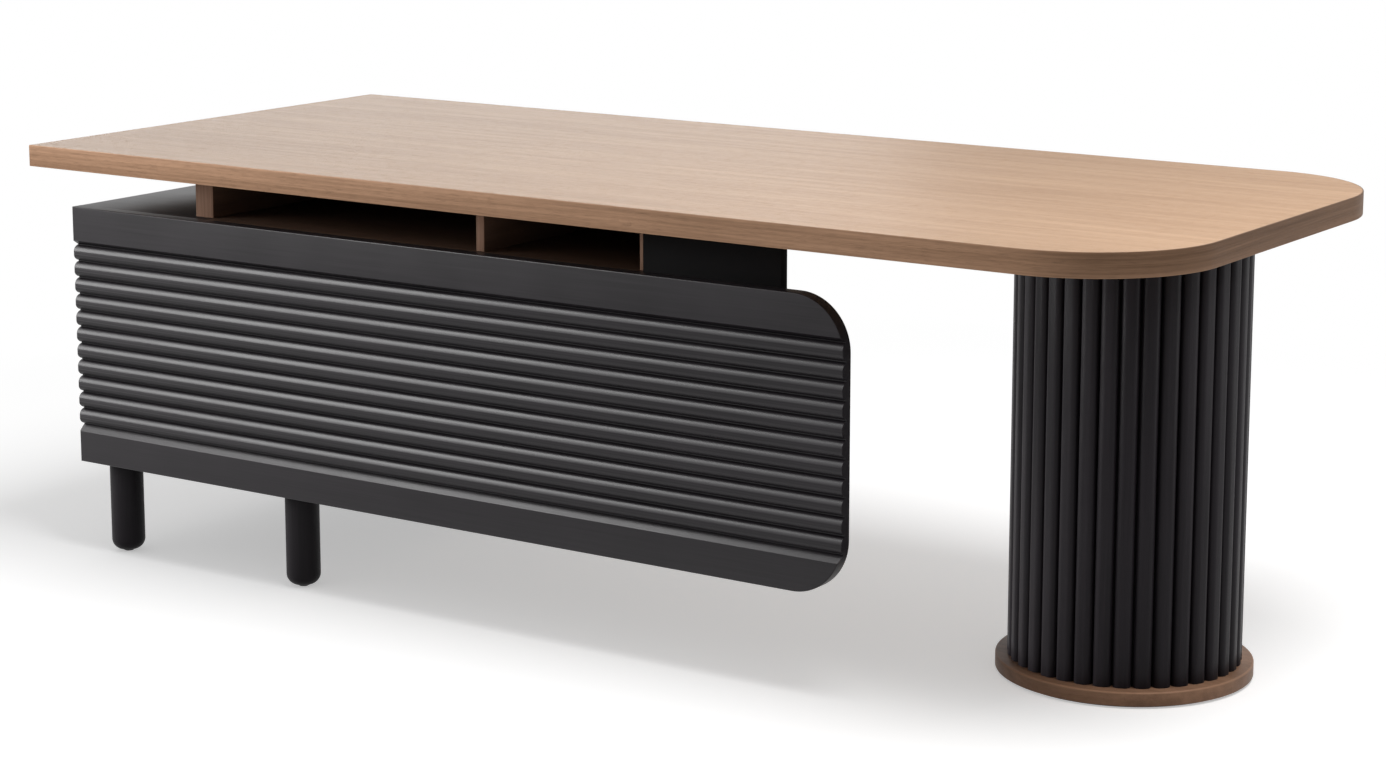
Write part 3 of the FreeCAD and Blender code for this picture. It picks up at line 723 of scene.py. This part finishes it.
@cache
def black_paint():
    """Matt black paint on board, darker than the lacquer: partly painted shade on the hanger under the top
    and on the core between the staves.
    """
    finish = Finish("black_paint", {"Specular IOR Level": 0.04})
    place = finish.place()
    cloud = finish.noise(place, scale=20, detail=3)
    finish.feed({
        "Base Color": finish.shaded(cloud, shades().paint, low=0.7, high=1.3),
        "Roughness": finish.sway(0.7, (cloud, 0.2)),
        "Normal": finish.bump(finish.noise(place, scale=700, detail=2), depth=0.0001),
    })
    return finish.material


@cache
def moulded_plastic():
    """Grained black plastic."""
    finish = Finish("moulded_plastic", {"Specular IOR Level": 0.4})
    place = finish.place()
    cloud = finish.noise(place, scale=40, detail=2)
    finish.feed({
        "Base Color": finish.shaded(cloud, shades().plastic, low=0.75, high=1.25),
        "Roughness": finish.sway(0.55, (cloud, 0.15)),
        "Normal": finish.bump(finish.noise(place, scale=1600, detail=2), depth=0.00008),
    })
    return finish.material


@cache
def zinc_steel():
    """Bright zinc on rolled steel."""
    finish = Finish("zinc_steel", {"Metallic": 1.0})
    place = finish.place()
    rolled = finish.grain(place, "y", run=4, across=900, detail=2)
    spangle = finish.noise(place, scale=160, detail=2)
    tone = finish.spread(spangle, low=0.35, high=0.65)
    finish.feed({
        "Base Color": finish.shaded(tone, shades().steel, low=0.82, high=1.06),
        "Roughness": finish.sway(0.34, (rolled, 0.16), (spangle, 0.12)),
        "Normal": finish.bump(rolled, depth=0.00006),
    })
    return finish.material


# Pieces

class DeskOperator:
    """What the desk's operators share."""

    bl_options = {"REGISTER", "UNDO"}


class DESK_OT_worktop(DeskOperator, bpy.types.Operator):
    """The veneered top and the edging round it"""

    bl_idname = "desk.worktop"
    bl_label = "Worktop"

    corner_steps = 40
    arris_steps = 3

    def execute(self, context):
        sizes = context.scene.desk_sizes
        low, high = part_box("top_edge_band")
        slab_low, slab_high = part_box("desk_top")
        thick = slab_low.x - low.x
        inner = sizes.top_corner - thick
        slab = end_rounded_block(slab_low, slab_high, inner, "z", self.corner_steps)
        smooth(slab)
        hand_over(slab, "worktop_slab", oak_veneer(), "desk_top")

        edging = end_rounded_block(low, high, sizes.top_corner, "z", self.corner_steps)
        with editing(edging, "FACE"):
            pick(edging, "faces", lambda face: abs(face.normal.z) > SQUARE)
            bpy.ops.mesh.inset(thickness=thick, use_individual=True)
            bpy.ops.mesh.bridge_edge_loops()
        flat = level_at("z", low.z, high.z)

        def on_outline(edge):
            outer = all(self.outside(point, slab_low, slab_high, inner) for point in ends(edge))
            return flat(edge) and outer

        bevel(edging, on_outline, sizes.edging_arris, self.arris_steps)
        mark_arrises(edging)
        self.lay_map(edging, low, high, sizes.top_corner)
        smooth(edging)
        hand_over(edging, "worktop_edging", oak_edging(), "top_edge_band")
        return {"FINISHED"}

    def outside(self, point, low, high, radius):
        """True for a point outside the slab's outline."""
        past_x = point.x - (high.x - radius)
        past_y = abs(point.y) - (high.y - radius)
        if past_x > 0 and past_y > 0:
            return math.hypot(past_x, past_y) > radius + CLOSE
        return point.x > high.x + CLOSE or point.x < low.x - CLOSE or abs(point.y) > high.y + CLOSE

    def lay_map(self, edging, low, high, radius):
        """Lays the edging's map: along its run and up its height, in metres."""
        mesh = edging.data
        while mesh.uv_layers:
            mesh.uv_layers.remove(mesh.uv_layers[0])
        layer = mesh.uv_layers.new(name="run")
        for face in mesh.polygons:
            for corner in face.loop_indices:
                point = mesh.vertices[mesh.loops[corner].vertex_index].co
                layer.data[corner].uv = (self.run(point, face.normal, low, high, radius), point.z)

    def run(self, point, normal, low, high, radius):
        """How far a point on a face lies along the edging, from the front left corner."""
        corner_x = high.x - radius
        corner_y = high.y - radius
        straight = corner_x - low.x
        quarter = radius * math.pi / 2
        side = 2 * corner_y
        if normal.x < -END_FACING:
            return low.y - point.y
        if point.x <= corner_x + CLOSE:
            if normal.y < 0:
                return point.x - low.x
            return straight + 2 * quarter + side + corner_x - point.x
        if point.y < -corner_y - CLOSE:
            return straight + radius * math.atan2(point.x - corner_x, -corner_y - point.y)
        if point.y > corner_y + CLOSE:
            return straight + quarter + side + radius * math.atan2(point.y - corner_y, point.x - corner_x)
        return straight + quarter + point.y + corner_y


class DESK_OT_fluted_front(DeskOperator, bpy.types.Operator):
    """The fluted panel: a section of rounds and bands, drawn out and cut to its rounded outline"""

    bl_idname = "desk.fluted_front"
    bl_label = "Fluted front"

    # The section reaches past the panel by a spare length, and the outline stands a skin in front of it
    spare = 0.01
    skin = 0.0001
    round_sides = 72
    corner_steps = 24
    arris_steps = 4

    def execute(self, context):
        sizes = context.scene.desk_sizes
        low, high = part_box("fluted_panel")
        piece = self.section(sizes, low, high)
        with editing(piece, "FACE"):
            bpy.ops.mesh.select_all(action="SELECT")
            self.draw_out(high.x - low.x + 2 * self.spare, 0, 0)
            bpy.ops.mesh.select_all(action="SELECT")
            bpy.ops.mesh.normals_make_consistent()
        face = low - Vector((0, self.skin, 0))
        outline = end_rounded_block(face, high, sizes.panel_corner, "y", self.corner_steps)
        bevel(outline, level_at("y", face.y), sizes.panel_arris, self.arris_steps)
        apply(piece, "BOOLEAN", operation="INTERSECT", solver="EXACT", object=outline)
        bpy.data.objects.remove(outline)
        smooth(piece)
        hand_over(piece, "fluted_front", black_lacquer("x"), "fluted_panel")
        return {"FINISHED"}

    def draw_out(self, *way):
        """Extrudes what is selected."""
        bpy.ops.mesh.extrude_region_move(TRANSFORM_OT_translate={"value": way})

    def section(self, sizes, low, high):
        """The panel's section across its length, as one flat face left of its left end."""
        radius = (sizes.rib_width ** 2 / 4 + sizes.rib_depth ** 2) / (2 * sizes.rib_depth)
        ribs_top = high.z - sizes.top_band - sizes.band_slope
        ribs_bottom = ribs_top - sizes.rib_count * sizes.rib_pitch
        groove_y = low.y + sizes.rib_depth
        centre_z = ribs_top - sizes.rib_pitch / 2
        land = (sizes.rib_pitch - sizes.rib_width) / 2
        piece = add(
            "circle", vertices=self.round_sides, radius=radius, fill_type="NOTHING",
            location=(low.x - self.spare, low.y + radius, centre_z), rotation=(0, math.pi / 2, 0),
        )
        with editing(piece, "VERT"):
            bpy.ops.mesh.select_all(action="SELECT")
            bpy.ops.mesh.bisect(plane_co=(0, groove_y, 0), plane_no=(0, 1, 0), clear_outer=True)
            for end in (1, -1):
                foot_z = centre_z + end * sizes.rib_width / 2
                pick(piece, "verts", lambda vert: abs(vert.co.z - foot_z) < CLOSE)
                self.draw_out(0, 0, end * land)
        apply(
            piece, "ARRAY", count=sizes.rib_count, use_relative_offset=False,
            use_constant_offset=True, constant_offset_displace=(0, 0, -sizes.rib_pitch),
            use_merge_vertices=True, merge_threshold=CLOSE,
        )
        front, back = low.y, high.y + self.spare
        over, under = high.z + self.spare, low.z - self.spare
        turns = (
            (groove_y, ribs_top),
            (front, ribs_top + sizes.band_slope),
            (front, over),
            (back, over),
            (back, under),
            (front, under),
            (front, ribs_bottom - sizes.ledge_slope),
            (groove_y, ribs_bottom),
        )
        with editing(piece, "VERT"):
            pick(piece, "verts", lambda vert: abs(vert.co.z - ribs_top) < CLOSE)
            for (y, z), (next_y, next_z) in zip(turns, turns[1:]):
                self.draw_out(0, next_y - y, next_z - z)
            bpy.ops.mesh.select_all(action="SELECT")
            bpy.ops.mesh.remove_doubles(threshold=CLOSE)
            bpy.ops.mesh.edge_face_add()
        return piece


class DESK_OT_cabinet(DeskOperator, bpy.types.Operator):
    """The lacquered boards of the drawer cabinet, and the board that holds the panel's free end in matt
    black, partly painted shade under the top
    """

    bl_idname = "desk.cabinet"
    bl_label = "Cabinet"

    sides = {"pedestal_left_side": "cabinet_left", "pedestal_right_side": "cabinet_right"}
    lengthwise = (
        {"pedestal_top": "cabinet_top", "pedestal_bottom": "cabinet_bottom"},
        {"pedestal_front_board": "cabinet_front"},
        {"ledge_board": "cabinet_ledge"},
    )
    hanger = {"hanger_board": "panel_hanger"}

    def execute(self, context):
        arris = context.scene.desk_sizes.board_arris
        boards(self.sides, black_lacquer("y"), arris)
        for names in self.lengthwise:
            boards(names, black_lacquer("x"), arris)
        # The hanger's darker matt black is partly painted shade under the top
        boards(self.hanger, black_paint(), arris)
        return {"FINISHED"}


class DESK_OT_open_shelf(DeskOperator, bpy.types.Operator):
    """The dark oak boards of the open shelf under the top, darkened partly as painted shade"""

    bl_idname = "desk.open_shelf"
    bl_label = "Open shelf"

    # The floor and back take the darkest oak, painted shade deep in the shelf
    plain = {"niche_floor": "shelf_floor", "niche_back": "shelf_back"}
    lipped = {
        "upright": "shelf_upright",
        "niche_divider": "shelf_divider",
        "niche_right_side": "shelf_right_side",
    }

    def execute(self, context):
        sizes = context.scene.desk_sizes
        for node, name in self.plain.items():
            boards({node: name}, shelf_oak(), sizes.shelf_arris)
        for node, name in self.lipped.items():
            boards({node: name}, smoked_oak(), sizes.shelf_arris, sizes.lipping)
        return {"FINISHED"}


class DESK_OT_legs(DeskOperator, bpy.types.Operator):
    """Four turned legs with rounded feet, and the glides under them"""

    bl_idname = "desk.legs"
    bl_label = "Legs"

    sides = 72
    foot_steps = 10
    glide_sides = 40
    glide_steps = 3

    def execute(self, context):
        sizes = context.scene.desk_sizes
        nodes = [f"leg_{place}" for place in LEGS]
        legs = repeat(self.leg(sizes, nodes[0]), nodes)
        for place, node, leg in zip(LEGS, nodes, legs):
            hand_over(leg, f"turned_leg_{place}", black_stain("z"), node)
        glides = repeat(self.glide(sizes, nodes[0]), nodes)
        select_only(glides[0])
        for glide in glides:
            glide.select_set(True)
        bpy.ops.object.join()
        smooth(glides[0])
        hand_over(glides[0], "floor_glides", moulded_plastic(), "leg_glides")
        return {"FINISHED"}

    def leg(self, sizes, node):
        """A leg with a round foot."""
        low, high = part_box(node)
        leg = add_rod((low + high) / 2, (high.x - low.x) / 2, high.z - low.z, self.sides)
        bevel(leg, level_at("z", low.z), sizes.leg_round, self.foot_steps)
        bevel(leg, level_at("z", high.z), sizes.leg_arris, ARRIS_STEPS)
        smooth(leg)
        return leg

    def glide(self, sizes, left_leg):
        """A glide with a round rim, under a leg at the left."""
        low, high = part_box("leg_glides")
        leg_low, leg_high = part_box(left_leg)
        centre = (leg_low + leg_high) / 2
        radius = centre.x - low.x
        centre.z = (low.z + high.z) / 2
        glide = add_rod(centre, radius, high.z - low.z, self.glide_sides)
        bevel(glide, level_at("z", low.z), sizes.glide_round, self.glide_steps)
        return glide


class DESK_OT_drum(DeskOperator, bpy.types.Operator):
    """The drum leg: staves round a core, on a walnut plinth and a foot"""

    bl_idname = "desk.drum"
    bl_label = "Drum leg"

    rim_sides = 160
    shoulder_steps = 8
    plinth_steps = 3
    inside = ("drum_core", "drum_top_plate", "drum_bottom_plate")

    def execute(self, context):
        sizes = context.scene.desk_sizes
        self.staves(sizes)
        self.plinth(sizes)
        self.foot(sizes)
        # The core shows only in the gaps between the staves, and its black is partly painted shade there
        carry_over(self.inside, black_paint())
        return {"FINISHED"}

    def staves(self, sizes):
        """One flat stave with round shoulders, spun round the drum's axis."""
        low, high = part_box("drum_battens")
        axis = (low + high) / 2
        face = axis.x + sizes.drum_radius
        side = axis.y + sizes.stave_width / 2
        inner = Vector((face - sizes.stave_depth, side - sizes.stave_width, low.z))
        outer = Vector((face, side, high.z))
        stave = end_rounded_block(inner, outer, sizes.stave_round, "z", self.shoulder_steps)
        bevel(stave, level_at("z", low.z, high.z), sizes.stave_arris, ARRIS_STEPS)
        smooth(stave)
        step = 2 * math.pi / sizes.stave_count
        copies = sizes.stave_count - 1
        with editing(stave, "FACE"):
            bpy.ops.mesh.select_all(action="SELECT")
            bpy.ops.transform.rotate(value=step / 2, orient_axis="Z", center_override=axis)
            bpy.ops.mesh.spin(steps=copies, angle=step * copies, dupli=True, center=axis, axis=(0, 0, 1))
            bpy.ops.mesh.select_all(action="SELECT")
            bpy.ops.mesh.normals_make_consistent()
        hand_over(stave, "drum_staves", black_stain("z"), "drum_battens")

    def disc(self, low, high):
        """A cylinder that fills a box."""
        return add_rod((low + high) / 2, (high.y - low.y) / 2, high.z - low.z, self.rim_sides)

    def plinth(self, sizes):
        """The plinth, rounded on top."""
        low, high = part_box("drum_plinth")
        piece = self.disc(low, high)
        bevel(piece, level_at("z", high.z), sizes.plinth_bevel, self.plinth_steps)
        bevel(piece, level_at("z", low.z), sizes.plinth_arris, ARRIS_STEPS)
        mark_arrises(piece)
        smooth(piece)
        hand_over(piece, "drum_base", walnut(), "drum_plinth")

    def foot(self, sizes):
        """The thin foot that lifts the plinth off the floor."""
        low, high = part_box("drum_foot")
        piece = self.disc(low, high)
        bevel(piece, level_at("z", low.z), sizes.foot_round, ARRIS_STEPS)
        smooth(piece)
        hand_over(piece, "drum_floor_ring", moulded_plastic(), "drum_foot")


class DESK_OT_drawers(DeskOperator, bpy.types.Operator):
    """Three drawers: sloped fronts and birch boxes"""

    bl_idname = "desk.drawers"
    bl_label = "Drawers"

    box_boards = (
        (("left_side", "right_side"), "y", True),
        (("back",), "x", True),
        (("bottom",), "y", False),
    )

    def execute(self, context):
        sizes = context.scene.desk_sizes
        self.fronts(sizes)
        for parts, axis, ply in self.box_boards:
            places = [(drawer, part) for drawer in DRAWERS for part in parts]
            names = {f"drawer_{drawer}_{part}": f"{drawer}_box_{part}" for drawer, part in places}
            boards(names, birch(axis), sizes.box_arris, ply=ply)
        return {"FINISHED"}

    def fronts(self, sizes):
        """A front with a sloped finger grip behind its top edge, copied for each drawer."""
        nodes = [f"drawer_{drawer}_front" for drawer in DRAWERS]
        low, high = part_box(nodes[0])
        piece = add_block(low, high)
        top = level_at("z", high.z)
        inside = level_at("y", low.y)
        bevel(piece, lambda edge: top(edge) and inside(edge), sizes.finger_slope, steps=1)
        bevel(piece, every, sizes.board_arris, ARRIS_STEPS)
        mark_arrises(piece)
        smooth(piece)
        for drawer, node, front in zip(DRAWERS, nodes, repeat(piece, nodes)):
            hand_over(front, f"{drawer}_drawer_front", black_lacquer("x"), node)


class DESK_OT_fittings(DeskOperator, bpy.types.Operator):
    """Zinc on the runners, brackets, studs and screws"""

    bl_idname = "desk.fittings"
    bl_label = "Fittings"

    fasteners = (
        "leg_studs", "panel_screws", "angle_brackets", "bracket_screws", "plinth_screws", "drum_screws",
    )

    def execute(self, context):
        carry_over((*self.fasteners, *RUNNERS), zinc_steel())
        return {"FINISHED"}


class DESK_OT_studio(DeskOperator, bpy.types.Operator):
    """The studio: white floor and world, soft lamps and the camera"""

    bl_idname = "desk.studio"
    bl_label = "Studio"

    aim = Vector((-0.1, -0.1, 0.45))
    key_place = Vector((-2.7, -2.05, 2.5))
    key_size = (1.4, 3.0)
    top_place = Vector((1.9, -0.2, 2.2))
    top_size = (1.6, 1.6)
    sheen_place = Vector((-3.5, 3.4, 1.7))
    sheen_size = (3.6, 1.2)
    floor_place = Vector((1.4, -0.45, 4.0))
    floor_size = (2.2, 2.2)
    left_wing_place = Vector((-1.43, -1.06, 0.6))
    right_wing_place = Vector((3.2, 0.8, 0.6))
    wing_size = (2.0, 1.6)
    fade_start = 0.55

    def execute(self, context):
        studio = context.scene.desk_studio
        floor = self.floor(studio)
        self.world(studio)
        self.lamps(studio, floor)
        self.camera(studio)
        context.scene.view_settings.view_transform = "Standard"
        return {"FINISHED"}

    def floor(self, studio):
        """A pale floor that keeps the desk's shadow and turns white away from it."""
        piece = add("plane", size=studio.floor_width)
        piece.name = "studio_floor"
        finish = Finish("studio_floor", {
            "Base Color": opaque(shades().floor), "Roughness": 0.9, "Specular IOR Level": 0.0,
            "Emission Strength": 1.0,
        })
        seen = finish.seen()
        glow = seen * studio.floor_glow
        grey = finish.node("ShaderNodeCombineColor", {}, {0: glow, 1: glow, 2: glow})
        finish.feed({"Emission Color": grey})
        far = finish.node("ShaderNodeVectorMath", {"operation": "LENGTH"}, {0: finish.place()}, "Value")
        white = finish.spread(far, studio.shadow_reach * self.fade_start, studio.shadow_reach)
        plain = finish.node("ShaderNodeEmission", {}, {"Strength": 1.0})
        mixed = finish.node("ShaderNodeMixShader", {}, {
            0: white * seen, 1: Wire(finish, finish.shader.outputs[0]), 2: plain,
        })
        finish.connect(finish.tree.nodes["Material Output"], {"Surface": mixed})
        piece.data.materials.append(finish.material)
        return piece

    def world(self, studio):
        """White to the eye, a plain fill to everything else."""
        world = bpy.data.worlds.new("studio_world")
        world.use_nodes = True
        bpy.context.scene.world = world
        nodes = Nodes(world.node_tree)
        nodes.connect(world.node_tree.nodes["Background"], {
            "Color": (1, 1, 1, 1),
            "Strength": studio.fill + (1 - studio.fill) * nodes.seen(),
        })

    def lamps(self, studio, floor):
        """Two lamps for most of the desk, and four that light only the slab, the floor or the staves."""
        slab = bpy.data.objects["worktop_slab"]
        edging = bpy.data.objects["worktop_edging"]
        staves = bpy.data.objects["drum_staves"]
        runners = [frame["nodes"][node] for node in RUNNERS]
        key = self.lamp("key_softbox", self.key_place, self.key_size, studio.key_power)
        self.link(key, "EXCLUDE", floor, slab, *runners)
        above = self.lamp("top_panel", self.top_place, self.top_size, studio.top_power)
        self.link(above, "EXCLUDE", floor, edging)
        sheen = self.lamp("sheen_panel", self.sheen_place, self.sheen_size, studio.sheen_power)
        self.link(sheen, "INCLUDE", slab)
        below = self.lamp("floor_panel", self.floor_place, self.floor_size, studio.floor_power)
        self.link(below, "INCLUDE", floor)
        wings = (
            self.lamp("left_wing", self.left_wing_place, self.wing_size, studio.left_wing_power),
            self.lamp("right_wing", self.right_wing_place, self.wing_size, studio.right_wing_power),
        )
        for wing in wings:
            wing.light_linking.blocker_collection = self.link(wing, "INCLUDE", staves)

    def lamp(self, name, place, size, watts):
        """A soft rectangular lamp aimed at the desk."""
        light = bpy.data.lights.new(name, "AREA")
        light.shape = "RECTANGLE"
        light.size, light.size_y = size
        light.energy = watts
        lamp = bpy.data.objects.new(name, light)
        lamp.location = place
        lamp.rotation_euler = (self.aim - place).to_track_quat("-Z", "Y").to_euler()
        lamp.visible_camera = False
        bpy.context.scene.collection.objects.link(lamp)
        return lamp

    def link(self, lamp, state, *pieces):
        """Gathers the pieces that a lamp's light leaves out, or keeps to."""
        gathered = bpy.data.collections.new(f"{lamp.name}_pieces")
        for piece in pieces:
            gathered.objects.link(piece)
        for held in gathered.collection_objects:
            held.light_linking.link_state = state
        lamp.light_linking.receiver_collection = gathered
        return gathered

    def camera(self, studio):
        """The camera at the desk's front right, looking a little down."""
        lens = bpy.data.cameras.new("studio_camera")
        lens.lens = studio.camera_lens
        lens.shift_y = studio.camera_shift
        camera = bpy.data.objects.new("studio_camera", lens)
        camera.location = studio.camera_place
        camera.rotation_euler = (math.pi / 2 - studio.camera_tilt, 0, studio.camera_turn)
        bpy.context.scene.collection.objects.link(camera)
        bpy.context.scene.camera = camera


# The add-on

OPERATORS = (
    DESK_OT_worktop, DESK_OT_fluted_front, DESK_OT_cabinet, DESK_OT_open_shelf, DESK_OT_legs, DESK_OT_drum,
    DESK_OT_drawers, DESK_OT_fittings, DESK_OT_studio,
)


class DESK_PT_making(bpy.types.Panel):
    """The desk's operators and settings"""

    bl_idname = "DESK_PT_making"
    bl_label = "Office Desk"
    bl_space_type = "VIEW_3D"
    bl_region_type = "UI"
    bl_category = "Desk"

    def draw(self, context):
        for operator in OPERATORS:
            self.layout.operator(operator.bl_idname)
        for group in (context.scene.desk_sizes, context.scene.desk_colours, context.scene.desk_studio):
            box = self.layout.box()
            for setting in group.__annotations__:
                box.prop(group, setting)


CLASSES = (DeskSizes, DeskColours, DeskStudio, *OPERATORS, DESK_PT_making)


def register():
    for kind in CLASSES:
        bpy.utils.register_class(kind)
    bpy.types.Scene.desk_sizes = PointerProperty(type=DeskSizes)
    bpy.types.Scene.desk_colours = PointerProperty(type=DeskColours)
    bpy.types.Scene.desk_studio = PointerProperty(type=DeskStudio)


def unregister():
    del bpy.types.Scene.desk_studio
    del bpy.types.Scene.desk_colours
    del bpy.types.Scene.desk_sizes
    for kind in reversed(CLASSES):
        bpy.utils.unregister_class(kind)


def main():
    """Makes the whole desk and its studio."""
    register()
    bpy.ops.desk.worktop()
    bpy.ops.desk.fluted_front()
    bpy.ops.desk.cabinet()
    bpy.ops.desk.open_shelf()
    bpy.ops.desk.legs()
    bpy.ops.desk.drum()
    bpy.ops.desk.drawers()
    bpy.ops.desk.fittings()
    bpy.ops.desk.studio()


if __name__ == "__main__":
    main()
